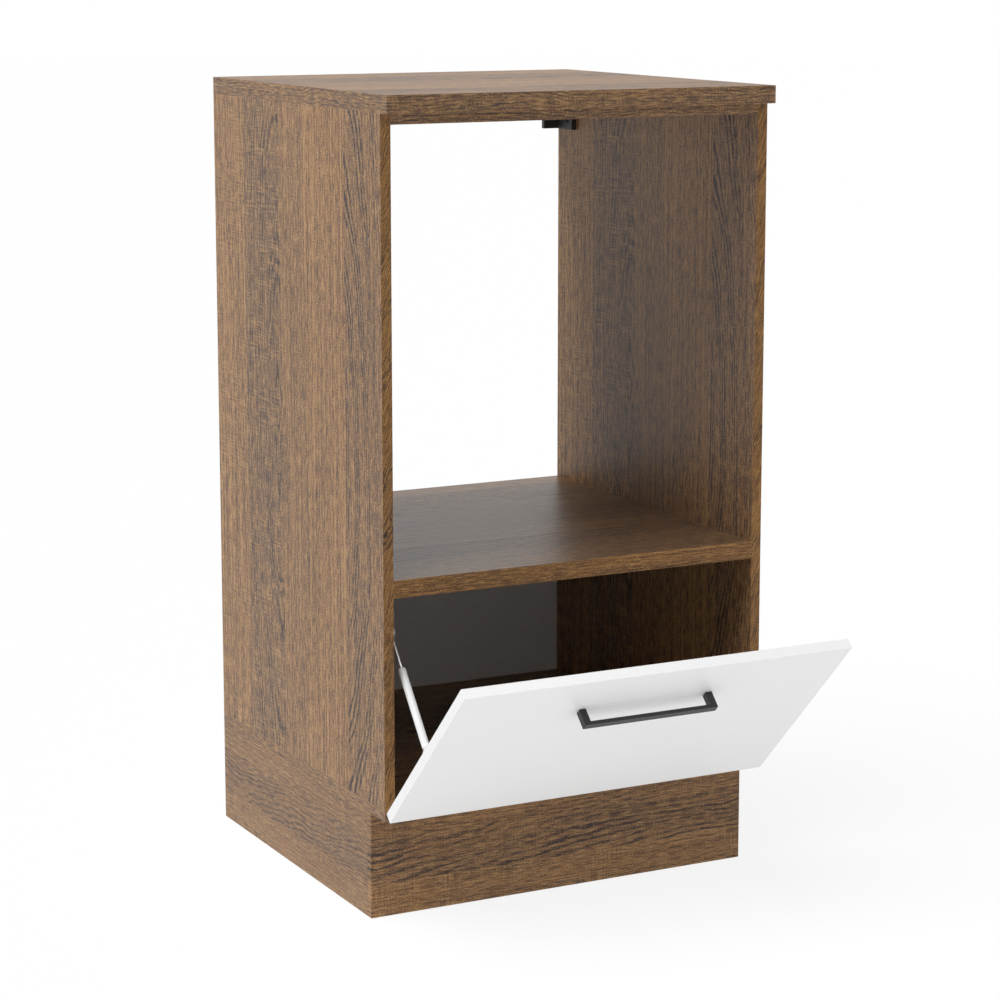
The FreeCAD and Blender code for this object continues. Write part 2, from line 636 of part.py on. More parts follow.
FLANGE_TOP = "(pin_depth + flange)"
FLANGE_LIP = 1
CUP_FLOOR = "(pin_depth - cup_depth)"
WING_HALF = 28
WING_LEVELS = (3, 16)
LUG_NEAR = 4.6
LUG_FAR = 7
LUG_BACK = 2.5
LUG_LEVELS = (-2.2, 3)
CUP_SCREW_X = 22.5
CUP_SCREW_LEVEL = f"({CUP_LEVEL} + 9.5)"
cup_screws = []
for side, x in HINGES.items():
    cup = new_body(f"hinge_cup_{side}")
    add_round(cup, "y", ("0", CUP_LEVEL), "cup_radius", CUP_FLOOR, "pin_depth")
    add_round(cup, "y", ("0", CUP_LEVEL), f"cup_radius + {FLANGE_LIP}", "pin_depth", FLANGE_TOP)
    wing_low, wing_high = [f"{CUP_LEVEL} + {level}" for level in WING_LEVELS]
    add_prism(cup, "y", rectangle(f"{-WING_HALF}", f"{WING_HALF}", wing_low, wing_high),
              "pin_depth", FLANGE_TOP)
    drill(cup, "y", [("0", CUP_LEVEL)], "cup_radius - cup_wall", f"{CUP_FLOOR} + cup_floor", FLANGE_TOP)
    for low, high in ((-LUG_FAR, -LUG_NEAR), (LUG_NEAR, LUG_FAR)):
        lug = rectangle(f"{CUP_FLOOR} + cup_floor / 2", f"{LUG_BACK}",
                        f"{LUG_LEVELS[0]}", f"{LUG_LEVELS[1]}")
        add_prism(cup, "x", lug, f"{low}", f"{high}")
    screw_spots = [(f"{sign * CUP_SCREW_X}", CUP_SCREW_LEVEL) for sign in SIGNS.values()]
    drill(cup, "x", [("0", "0")], "pin_radius", f"{-LUG_FAR}", f"{LUG_FAR}")
    drill(cup, "y", screw_spots, "wood_screw_radius", "pin_depth", FLANGE_TOP)
    hang(cup, x)
    cylinder(f"hinge_pin_{side}", "x", 1, (f"{x} - {LUG_FAR}", PIN_BACK, "pin_height"),
             "pin_radius", f"{2 * LUG_FAR}")
    door_spots = [(f"{x} + {spot_x}", level) for spot_x, level in screw_spots]
    drill(door, "y", door_spots, "wood_screw_radius", f"pin_depth - {DOOR_SCREW_IN}", "pin_depth")
    cup_screws += [("y", -1, (spot_x, f"{FLANGE_TOP} + wood_head", level)) for spot_x, level in door_spots]
CUP_SCREW = ("wood_head_radius", "wood_head", "wood_screw_radius", f"wood_head + flange + {DOOR_SCREW_IN}")
hang(fasteners("hinge_cup_screws", CUP_SCREW, cup_screws))

# Each hinge arm reaches over the front of the base panel, from its plate into the cup.

BASE_LEVEL = f"({BASE_TOP} - pin_height)"
PLATE_TOP = f"({BASE_LEVEL} + plate_thick)"
WING_TOP = f"({BASE_LEVEL} + plate_thick / 2)"
ARM_TOP = f"({PLATE_TOP} + 2 * arm_thick)"
ARM_START = 15
ARM_END = 74
NECK_END = ARM_START + 1
EYE_WALL = 1.1
SLOPE = "(arm_thick / sqrt(2))"
PLATE_START = 20
PLATE_END = 70
WING_REACH = 25
WING_WIDE = 14
CLAMP_SCREW_Y = (30, 62)
WING_SCREW_X = 18
WING_SCREW_Y = 46
plate_screws = []
clamp_screws = []
for side, x in HINGES.items():
    corner = (x, PIN_BACK, "pin_height")
    arm = new_body(f"hinge_arm_{side}", corner)
    neck = [(f"{SLOPE} / 2", f"-{SLOPE} / 2"), (f"{PLATE_TOP} + {SLOPE}", PLATE_TOP),
            (f"{NECK_END}", PLATE_TOP), (f"{NECK_END}", f"{PLATE_TOP} + arm_thick"),
            (f"{PLATE_TOP} + arm_thick - {SLOPE}", f"{PLATE_TOP} + arm_thick"),
            (f"-{SLOPE} / 2", f"{SLOPE} / 2")]
    add_prism(arm, "x", neck, "-arm_half_width / 2", "arm_half_width / 2")
    add_round(arm, "x", ("0", "0"), f"pin_radius + {EYE_WALL}", "-arm_half_width / 2", "arm_half_width / 2")
    add_prism(arm, "x", rectangle(f"{ARM_START}", f"{ARM_END}", PLATE_TOP, ARM_TOP),
              "-arm_half_width", "arm_half_width")
    drill(arm, "x", [(PIN_BACK, "pin_height")], "pin_radius + running_gap",
          f"{x} - arm_half_width", f"{x} + arm_half_width")
    plate = new_body(f"hinge_plate_{side}", corner)
    add_prism(plate, "z", rectangle("-arm_half_width", "arm_half_width", f"{PLATE_START}", f"{PLATE_END}"),
              BASE_LEVEL, PLATE_TOP)
    add_prism(plate, "z", rectangle(f"{-WING_REACH}", f"{WING_REACH}", f"{WING_SCREW_Y - WING_WIDE / 2}",
                                    f"{WING_SCREW_Y + WING_WIDE / 2}"), BASE_LEVEL, WING_TOP)
    clamp_spots = [(x, f"{PIN_BACK} + {y}") for y in CLAMP_SCREW_Y]
    drill(arm, "z", clamp_spots, "wood_screw_radius", f"pin_height + {PLATE_TOP}", f"pin_height + {ARM_TOP}")
    drill(plate, "z", clamp_spots, "wood_screw_radius", BASE_TOP, f"pin_height + {PLATE_TOP}")
    clamp_screws += [("z", -1, (*spot, f"pin_height + {ARM_TOP} + wood_head")) for spot in clamp_spots]
    wing_spots = [(f"{x} + {sign * WING_SCREW_X}", f"{PIN_BACK} + {WING_SCREW_Y}") for sign in SIGNS.values()]
    drill(plate, "z", wing_spots, "wood_screw_radius", BASE_TOP, f"pin_height + {WING_TOP}")
    drill(base_panel, "z", wing_spots, "wood_screw_radius", f"{BASE_TOP} - {WOOD_SCREW_IN}", BASE_TOP)
    plate_screws += [("z", -1, (*spot, f"pin_height + {WING_TOP} + wood_head")) for spot in wing_spots]
PLATE_SCREW = ("wood_head_radius", "wood_head", "wood_screw_radius",
               f"wood_head + plate_thick / 2 + {WOOD_SCREW_IN}")
CLAMP_SCREW = ("wood_head_radius", "wood_head", "wood_screw_radius",
               "wood_head + 2 * arm_thick + plate_thick")
fasteners("hinge_plate_screws", PLATE_SCREW, plate_screws)
fasteners("hinge_clamp_screws", CLAMP_SCREW, clamp_screws)

# The handle is a square-cornered bow, held by two screws through the flap.

handle = new_body("handle")
HALF_HANDLE = "(handle_length / 2)"
BAR_OUTER = f"({DOOR_OUTER} - handle_standoff)"
bow = [(f"-{HALF_HANDLE}", DOOR_OUTER), (f"-{HALF_HANDLE}", BAR_OUTER),
       (HALF_HANDLE, BAR_OUTER), (HALF_HANDLE, DOOR_OUTER),
       (f"{HALF_HANDLE} - handle_leg", DOOR_OUTER),
       (f"{HALF_HANDLE} - handle_leg", f"{BAR_OUTER} + handle_bar"),
       (f"-{HALF_HANDLE} + handle_leg", f"{BAR_OUTER} + handle_bar"),
       (f"-{HALF_HANDLE} + handle_leg", DOOR_OUTER)]
add_prism(handle, "z", bow, f"{HANDLE_LEVEL} - handle_band / 2", f"{HANDLE_LEVEL} + handle_band / 2")
doc.recompute()
square_bow = handle.Tip
rounded = handle.newObject("PartDesign::Fillet", "handle_rounding")
rounded.Base = (square_bow, [f"Edge{i + 1}" for i in range(len(square_bow.Shape.Edges))])
bind(rounded, "Radius", "handle_edge")
handle_spots = [(f"{sign} * ({HALF_HANDLE} - handle_leg / 2)", HANDLE_LEVEL) for sign in SIGNS.values()]
HANDLE_BITE = 12
drill(handle, "y", handle_spots, "wood_screw_radius", f"{DOOR_OUTER} - {HANDLE_BITE}", DOOR_OUTER)
hang(handle)
drill(door, "y", handle_spots, "wood_screw_radius", DOOR_OUTER, "pin_depth")
HANDLE_SCREW = ("wood_head_radius", "wood_head", "wood_screw_radius", f"wood_head + board + {HANDLE_BITE}")
hang(fasteners("handle_screws", HANDLE_SCREW,
               [("y", -1, (x, "pin_depth + wood_head", z)) for x, z in handle_spots]))

# Two soft pads keep the closed flap off the side panels.

BUMPER_RADIUS = "4"
BUMPER_BELOW_TOP = 20
BUMPER_THICK = "(door_gap - 0.4)"
hang(group("door_bumpers", [
    cylinder(f"bumper_{side}", "y", 1,
             (f"{sign} * {SIDE_MIDDLE}", "pin_depth", f"{DOOR_TOP} - {BUMPER_BELOW_TOP}"),
             BUMPER_RADIUS, BUMPER_THICK)
    for side, sign in SIGNS.items()]))

# Gas strut. Its side end turns on a ball on the left side panel, and its other end meets the flap.

BALL_X = f"(-{SIDE_INNER} + strut_inset)"
SIDE_BALL_Y = f"({FRONT} + side_ball_back)"
DOOR_BALL_Y = "(pin_depth + door_ball_out)"
DOOR_BALL_Z = "(door_ball_up - pin_up)"
OPEN_BALL_Y = f"({PIN_BACK} + {DOOR_BALL_Y} * cos(opening_angle) - {DOOR_BALL_Z} * sin(opening_angle))"
OPEN_BALL_Z = f"(pin_height + {DOOR_BALL_Y} * sin(opening_angle) + {DOOR_BALL_Z} * cos(opening_angle))"
STRUT_RUN = f"({SIDE_BALL_Y} - {OPEN_BALL_Y})"
STRUT_RISE = f"(side_ball_height - {OPEN_BALL_Z})"
STRUT_LENGTH = f"sqrt({STRUT_RUN} * {STRUT_RUN} + {STRUT_RISE} * {STRUT_RISE})"
STRUT_LEAN = f"-atan({STRUT_RUN} / {STRUT_RISE})"
PLATE_HALF = 20
PLATE_HALF_WIDTH = 11
PLATE_SCREW_OFF = 14
SHEET = 2
COLLAR_RADIUS = "(stud_radius + 1.2)"
COLLAR_GAP = 1.5


def lean(thing):
    """Put a piece of the strut on its line, which hangs down from the side ball."""
    place(thing, BALL_X, SIDE_BALL_Y, "side_ball_height", STRUT_LEAN)
    return thing


side_plate = new_body("strut_side_plate", (f"-{SIDE_INNER}", SIDE_BALL_Y, "side_ball_height"))
add_prism(side_plate, "x", rectangle(f"{-PLATE_HALF_WIDTH}", f"{PLATE_HALF_WIDTH}",
                                     f"{-PLATE_HALF}", f"{PLATE_HALF}"), "0", f"{SHEET}")
side_screw_spots = [(SIDE_BALL_Y, f"side_ball_height + {off}") for off in (-PLATE_SCREW_OFF, PLATE_SCREW_OFF)]
drill(side_plate, "x", [(SIDE_BALL_Y, "side_ball_height")], "stud_radius",
      f"-{SIDE_INNER}", f"-{SIDE_INNER} + {SHEET}")
drill(side_plate, "x", side_screw_spots, "wood_screw_radius", f"-{SIDE_INNER}", f"-{SIDE_INNER} + {SHEET}")
drill(doc.getObject("side_panel_left"), "x", side_screw_spots, "wood_screw_radius",
      f"-{SIDE_INNER} - {WOOD_SCREW_IN}", f"-{SIDE_INNER}")
STRUT_SCREW = ("wood_head_radius", "wood_head", "wood_screw_radius", f"wood_head + {SHEET} + {WOOD_SCREW_IN}")
fasteners("strut_side_screws", STRUT_SCREW,
          [("x", -1, (f"-{SIDE_INNER} + {SHEET} + wood_head", *spot)) for spot in side_screw_spots])

ball = new_part("Part::Sphere", "side_ball")
bind(ball, "Radius", "ball_radius")
place(ball, BALL_X, SIDE_BALL_Y, "side_ball_height")
fused("strut_side_ball_stud", [
    cylinder("side_stud_neck", "x", 1, (f"-{SIDE_INNER}", SIDE_BALL_Y, "side_ball_height"),
             "stud_radius", "strut_inset"),
    cylinder("side_stud_collar", "x", 1, (f"-{SIDE_INNER} + {SHEET}", SIDE_BALL_Y, "side_ball_height"),
             COLLAR_RADIUS, f"strut_inset - {SHEET} - socket_width / 2 - {COLLAR_GAP}"),
    ball,
])

# Both ends of the strut are moulded sockets with a neck towards the middle of the strut. The upper
# one is open to its stud on the left, the lower one on the right. The seam of the round hollow is
# turned away from both openings.

STUD_SLACK = 1
ROD_GRIP = 3
QUARTER_TURN = FreeCAD.Rotation(FreeCAD.Vector(0, 0, 1), 90)


def socket(label, level, way, neck_radius):
    body = new_body(label)
    add_round(body, "x", ("0", level), "socket_radius", "-socket_width / 2", "socket_width / 2")
    low, high = (level, f"{level} + socket_reach") if way > 0 else (f"{level} - socket_reach", level)
    add_round(body, "z", ("0", "0"), neck_radius, low, high)
    doc.recompute()
    hollow = body.newObject("PartDesign::SubtractiveSphere", label + "_hollow")
    bind(hollow, "Radius", "ball_radius + running_gap")
    hollow.Placement = FreeCAD.Placement(FreeCAD.Vector(), QUARTER_TURN)
    bind(hollow, "Placement.Base.z", level)
    low, high = span(way, "0", "socket_width / 2")
    drill(body, "x", [("0", level)], f"stud_radius + {STUD_SLACK}", low, high)
    return body


upper = socket("strut_upper_socket", "0", -1, "4")
ROD_TOP = f"(-socket_reach + {ROD_GRIP})"
drill(upper, "z", [("0", "0")], "rod_radius", "-socket_reach", ROD_TOP)
lean(upper)
rod = new_body("strut_rod")
add_round(rod, "z", ("0", "0"), "rod_radius", "-rod_length", ROD_TOP)
lean(rod)
lower = socket("strut_lower_socket", f"-{STRUT_LENGTH}", 1, "4.8")
lean(lower)

TUBE_BOTTOM = f"(-{STRUT_LENGTH} + socket_reach)"
TUBE_TOP = f"({TUBE_BOTTOM} + tube_length)"
GUIDE = 8
PISTON = 5
PISTON_SLACK = 0.1
tube = new_body("strut_tube")
add_round(tube, "z", ("0", "0"), "tube_radius", TUBE_BOTTOM, TUBE_TOP)
drill(tube, "z", [("0", "0")], "tube_radius - tube_wall", f"{TUBE_BOTTOM} + 2 * tube_wall", TUBE_TOP)
lean(tube)
guide = new_body("strut_rod_guide")
add_round(guide, "z", ("0", "0"), "tube_radius - tube_wall", f"{TUBE_TOP} - {GUIDE}", TUBE_TOP)
drill(guide, "z", [("0", "0")], "rod_radius + running_gap", f"{TUBE_TOP} - {GUIDE}", TUBE_TOP)
lean(guide)
piston = new_body("strut_piston")
add_round(piston, "z", ("0", "0"), f"tube_radius - tube_wall - {PISTON_SLACK}",
          f"-rod_length - {PISTON}", "-rod_length")
lean(piston)

# The plate on the flap has a tab that carries the stud for the strut's lower end. It stands on the
# strut's right, so the flap's left end hides it from the front.

STUD_GAP = 0.6
TAB_REACH = 18
TAB_HALF = 8
TAB_ABOVE_STUD = 7
FOOT_WIDE = 21
FOOT_HALF = 18
FOOT_SCREW_OFF = 12
TAB_OUTER = f"({BALL_X} + {TAB_REACH})"
TAB_INNER = f"({TAB_OUTER} - {SHEET})"
FOOT_TOP = f"(pin_depth + {SHEET})"
STUD_END = f"({BALL_X} + socket_width / 2 + {STUD_GAP})"
door_plate = new_body("strut_door_bracket")
add_prism(door_plate, "y",
          rectangle(f"{TAB_OUTER} - {FOOT_WIDE}", TAB_OUTER,
                    f"{DOOR_BALL_Z} - {FOOT_HALF}", f"{DOOR_BALL_Z} + {FOOT_HALF}"), "pin_depth", FOOT_TOP)
add_prism(door_plate, "x",
          rectangle("pin_depth", f"{DOOR_BALL_Y} + {TAB_ABOVE_STUD}",
                    f"{DOOR_BALL_Z} - {TAB_HALF}", f"{DOOR_BALL_Z} + {TAB_HALF}"), TAB_INNER, TAB_OUTER)
door_plate_spots = [(f"{TAB_OUTER} - {FOOT_WIDE} * 0.6", f"{DOOR_BALL_Z} + {off}")
                    for off in (-FOOT_SCREW_OFF, FOOT_SCREW_OFF)]
drill(door_plate, "y", door_plate_spots, "wood_screw_radius", "pin_depth", FOOT_TOP)
drill(door_plate, "x", [(DOOR_BALL_Y, DOOR_BALL_Z)], "stud_radius", TAB_INNER, TAB_OUTER)
drill(door, "y", door_plate_spots, "wood_screw_radius", f"pin_depth - {DOOR_SCREW_IN}", "pin_depth")
hang(door_plate)
DOOR_PLATE_SCREW = ("wood_head_radius", "wood_head", "wood_screw_radius",
                    f"wood_head + {SHEET} + {DOOR_SCREW_IN}")
hang(fasteners("strut_door_screws", DOOR_PLATE_SCREW,
               [("y", -1, (x, f"{FOOT_TOP} + wood_head", z)) for x, z in door_plate_spots]))
hang(fused("strut_door_stud", [
    cylinder("door_stud_neck", "x", 1, (STUD_END, DOOR_BALL_Y, DOOR_BALL_Z), "stud_radius",
             minus(TAB_OUTER, STUD_END)),
    cylinder("door_stud_collar", "x", 1, (f"{STUD_END} + {2 * COLLAR_GAP}", DOOR_BALL_Y, DOOR_BALL_Z),
             COLLAR_RADIUS, f"{TAB_INNER} - {STUD_END} - {2 * COLLAR_GAP}"),
]))

# Every solid that nothing else holds is a piece of the cabinet, and is written to a file of its own.

doc.recompute()
for thing in doc.Objects:
    if "Invalid" in thing.State or "Error" in thing.State:
        raise RuntimeError(f"{thing.Label} failed: {thing.State}")
pieces = [thing for thing in doc.RootObjects if thing.isDerivedFrom("Part::Feature")]
for piece in pieces:
    if piece.Shape.isNull() or not piece.Shape.isValid() or not piece.Shape.Solids:
        raise RuntimeError(f"{piece.Label} has no valid shape")
os.makedirs("parts", exist_ok=True)
for piece in pieces:
    piece.Shape.exportStep(f"parts/{piece.Label}.step")
print(len(pieces), "pieces written")
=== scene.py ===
import math

import bmesh
import bpy
import numpy as np
from mathutils import Matrix, Vector


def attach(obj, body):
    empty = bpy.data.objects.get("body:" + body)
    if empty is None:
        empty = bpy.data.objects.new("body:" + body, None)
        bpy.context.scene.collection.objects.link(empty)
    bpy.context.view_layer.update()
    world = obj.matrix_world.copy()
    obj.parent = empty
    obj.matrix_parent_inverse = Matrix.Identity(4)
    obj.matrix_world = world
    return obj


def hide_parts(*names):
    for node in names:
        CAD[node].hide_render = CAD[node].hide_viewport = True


# Oven base cabinet with a flap door. The CAD nodes keep their shapes, and get materials and
# softer edges. Screws, nails, cams, pads and the strut's tube are replaced by turned pieces.
# Lengths are in metres, apart from edge widths and turned profiles, which are in millimetres.

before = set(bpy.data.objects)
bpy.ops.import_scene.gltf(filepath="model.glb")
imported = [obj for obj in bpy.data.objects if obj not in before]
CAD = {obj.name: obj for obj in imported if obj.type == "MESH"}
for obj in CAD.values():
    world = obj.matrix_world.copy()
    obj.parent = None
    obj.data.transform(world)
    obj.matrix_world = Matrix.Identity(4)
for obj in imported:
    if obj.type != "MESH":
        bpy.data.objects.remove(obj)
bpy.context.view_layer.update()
scene = bpy.context.scene

MM = 0.001
# Corners nearer to each other than this are taken as one
JOINED = 0.01 * MM
SIDEWAYS, BACKWARD, UPWARD = (1, 0, 0), (0, 1, 0), (0, 0, 1)
DOOR_IN = Vector((0, 1, 1)).normalized()
STRUT_UP = Vector((0, 0.63648, 0.77129))


# Node building

class Nodes:
    """Builds a node tree. Most methods add a node and give its output socket."""

    def __init__(self, owner):
        owner.use_nodes = True
        self.tree = owner.node_tree
        self.tree.nodes.clear()

    def node(self, kind, inputs=(), **settings):
        made = self.tree.nodes.new(kind)
        for key, value in settings.items():
            setattr(made, key, value)
        for key, value in dict(inputs).items():
            self.feed(made.inputs[key], value)
        return made

    def feed(self, socket, value):
        if isinstance(value, bpy.types.NodeSocket):
            self.tree.links.new(value, socket)
        elif socket.type == "RGBA" and len(value) == 3:
            socket.default_value = (*value, 1.0)
        else:
            socket.default_value = value

    def calc(self, operation, *values, **settings):
        made = self.node("ShaderNodeMath", operation=operation, **settings)
        for socket, value in zip(made.inputs, values):
            self.feed(socket, value)
        return made.outputs[0]

    def add(self, a, b):
        return self.calc("ADD", a, b)

    def less(self, a, b):
        return self.calc("SUBTRACT", a, b)

    def times(self, a, b):
        return self.calc("MULTIPLY", a, b)

    def seen(self):
        """1 for rays from the camera, from gloss and through glass."""
        path = self.node("ShaderNodeLightPath").outputs
        either = self.calc("MAXIMUM", path["Is Camera Ray"], path["Is Glossy Ray"])
        return self.calc("MAXIMUM", either, path["Is Transmission Ray"])

    def mix_shaders(self, share, first, last):
        made = self.node("ShaderNodeMixShader", {"Fac": share})
        self.feed(made.inputs[1], first)
        self.feed(made.inputs[2], last)
        return made.outputs[0]


class Look(Nodes):
    """A material that is worked out from where a point lies on the object."""

    def __init__(self, name):
        self.material = bpy.data.materials.new(name)
        super().__init__(self.material)
        self.point = self.node("ShaderNodeTexCoord").outputs["Object"]

    def along(self, direction, vector=None):
        """How far the point, or another vector, reaches along a direction."""
        made = self.node("ShaderNodeVectorMath", operation="DOT_PRODUCT")
        self.feed(made.inputs[0], vector or self.point)
        self.feed(made.inputs[1], direction)
        return made.outputs["Value"]

    def noise(self, x, y, z, detail=2.0, rough=0.5):
        where = self.node("ShaderNodeCombineXYZ", {"X": x, "Y": y, "Z": z}).outputs[0]
        made = self.node("ShaderNodeTexNoise", {"Vector": where, "Scale": 1.0, "Detail": detail,
                                                "Roughness": rough})
        return made.outputs["Fac"]

    def grain(self, scale, detail=2.0, rough=0.5):
        """Noise that is the same in every direction; scale is features a metre."""
        made = self.node("ShaderNodeTexNoise", {"Vector": self.point, "Scale": scale,
                                                "Detail": detail, "Roughness": rough})
        return made.outputs["Fac"]

    def ease(self, value, low, high, first=0.0, last=1.0):
        """A soft step from first to last as the value goes from low to high."""
        made = self.node("ShaderNodeMapRange", {"Value": value, "From Min": low, "From Max": high,
                                                "To Min": first, "To Max": last},
                         interpolation_type="SMOOTHSTEP")
        return made.outputs["Result"]

    def blend(self, share, a, b, kind="MIX"):
        made = self.node("ShaderNodeMix", data_type="RGBA", blend_type=kind)
        self.feed(made.inputs[0], share)
        self.feed(made.inputs[6], a)
        self.feed(made.inputs[7], b)
        return made.outputs[2]

    def grey(self, value):
        return self.node("ShaderNodeCombineColor", {"Red": value, "Green": value, "Blue": value}).outputs[0]

    def faces(self, direction):
        """1 on faces square to a direction, 0 on faces along it."""
        normal = self.node("ShaderNodeTexCoord").outputs["Normal"]
        return self.ease(self.calc("ABSOLUTE", self.along(direction, normal)), 0.55, 0.70)

    def shown(self, surface):
        self.node("ShaderNodeOutputMaterial", {"Surface": surface})
        return self.material

    def done(self, colour, roughness, height, depth, **surface):
        """The finished material; height times depth is its bump in metres."""
        bump = self.node("ShaderNodeBump", {"Height": height, "Strength": 1.0, "Distance": depth})
        settings = {key.replace("_", " "): value for key, value in surface.items()}
        settings.update({"Base Color": colour, "Roughness": roughness, "Normal": bump.outputs[0]})
        return self.shown(self.node("ShaderNodeBsdfPrincipled", settings).outputs[0])


# Oak decor

OAK_LIGHT = (0.500, 0.300, 0.130)
OAK_PALE = (0.325, 0.172, 0.072)
OAK_BROWN = (0.210, 0.107, 0.044)
OAK_SLATE = (0.130, 0.075, 0.046)
OAK_LINE = (0.036, 0.026, 0.027)
CHIP_PALE = (0.56, 0.42, 0.27)
CHIP_DARK = (0.27, 0.17, 0.09)
GOLDEN = (1.0, 0.92, 0.70)
OAK_BUMP = 0.00008

# The decor is printed in planks. Each is given as the place of its first edge across the grain,
# the place of its rings' middle, its paleness, how strongly its rings show and how much of it is
# rough sawn. The last plank goes on to the edge of the board. WAVY is for edge bands.
PLANKS = [(0.000, 0.050, 0.85, 0.10, 0.65), (0.110, 0.235, 0.15, 0.60, 0.80),
          (0.245, 0.050, 0.60, 0.20, 0.12), (0.330, 0.950, 0.90, 0.30, 0.08),
          (0.466, 0.432, 0.50, 1.00, 0.15)]
WAVY = [(0.0, 0.95, 0.50, 0.9, 0.3), (0.9, 0.5, 0.5, 0.9, 0.3)]
PLINTH = [(0.0, 0.95, 0.65, 0.5, 0.7), (0.065, 0.02, 0.40, 1.0, 0.2), (0.130, 0.95, 0.55, 0.8, 0.2)]

# The noises that the marks in the grain come from: features a metre across and along the grain,
# the noise's detail and roughness, and its seed. Those in FINER are drawn finer on small pieces,
# and those in BY_PLANK differ from plank to plank.
MARKS = {
    "fuzz": (80.0, 18.0, 3.0, 0.7, 4.0),
    "fibre": (190.0, 3.0, 3.0, 0.7, 6.0),
    "pore": (240.0, 50.0, 2.0, 0.6, 2.0),
    "speck": (240.0, 400.0, 3.0, 0.7, 3.0),
    "slate": (24.0, 4.5, 3.0, 0.65, 1.0),
    "saw_cut": (25.0, 470.0, 1.0, 0.5, 5.0),
    "saw_weft": (260.0, 25.0, 1.0, 0.5, 7.0),
    "saw_patch": (7.0, 10.0, 2.0, 0.6, 8.0),
    "tone": (4.0, 2.2, 2.0, 0.5, 3.0),
}
FINER = {"fuzz", "fibre", "pore", "speck", "saw_weft"}
BY_PLANK = {"fibre", "slate"}


